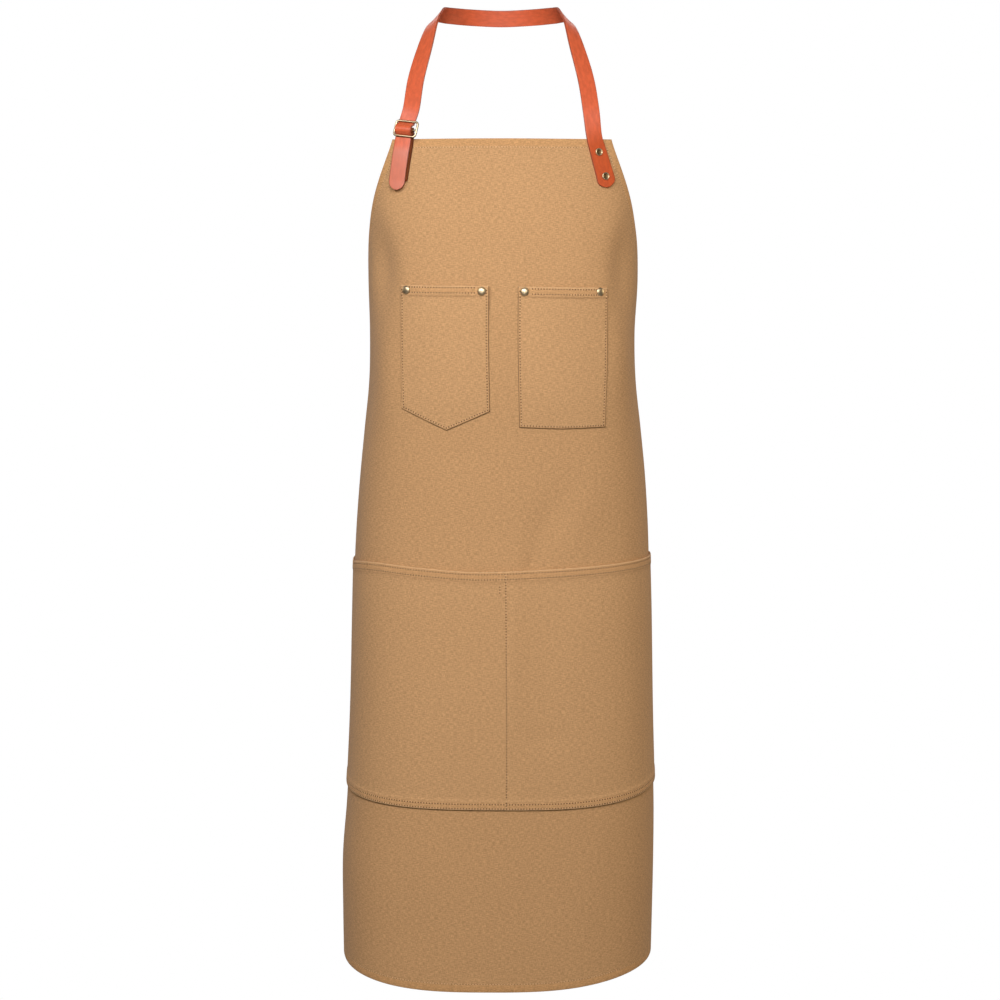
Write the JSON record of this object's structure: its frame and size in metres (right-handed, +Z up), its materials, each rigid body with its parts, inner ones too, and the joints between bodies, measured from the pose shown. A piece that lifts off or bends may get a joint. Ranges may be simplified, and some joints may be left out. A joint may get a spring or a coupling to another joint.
{
  "type": "bib apron",
  "caption": "Canvas bib apron in its worn form, with riveted chest pockets, a wide skirt pocket and a leather neck strap on a slide buckle.",
  "frame": {"origin": "middle of the neck strap's inner face at the nape, where the apron hangs on its wearer", "axes": "+Z up, -Y the way the apron's front faces, +X to the right as seen from the front"},
  "size_m": [0.3366, 0.211, 1.0274],
  "materials": {
    "canvas": "plain-woven tan cotton canvas, matt",
    "pocket_canvas": "plain-woven tan cotton canvas, matt",
    "strap_leather": "orange-brown smooth leather, satin, darker cut edges",
    "antique_brass": "antique brass, dark in the hollows"
  },
  "bodies": {
    "root": {"apron_panel": "canvas", "chest_pocket_left": "pocket_canvas", "chest_pocket_right": "pocket_canvas", "skirt_pocket": "pocket_canvas", "neck_strap": "strap_leather", "buckle_tab": "strap_leather", "buckle_frame": "antique_brass", "pocket_rivet_1": "antique_brass", "pocket_rivet_2": "antique_brass", "pocket_rivet_3": "antique_brass", "pocket_rivet_4": "antique_brass", "strap_rivet_upper": "antique_brass", "strap_rivet_lower": "antique_brass", "tab_rivet": "antique_brass"}
  },
  "joints": []
}
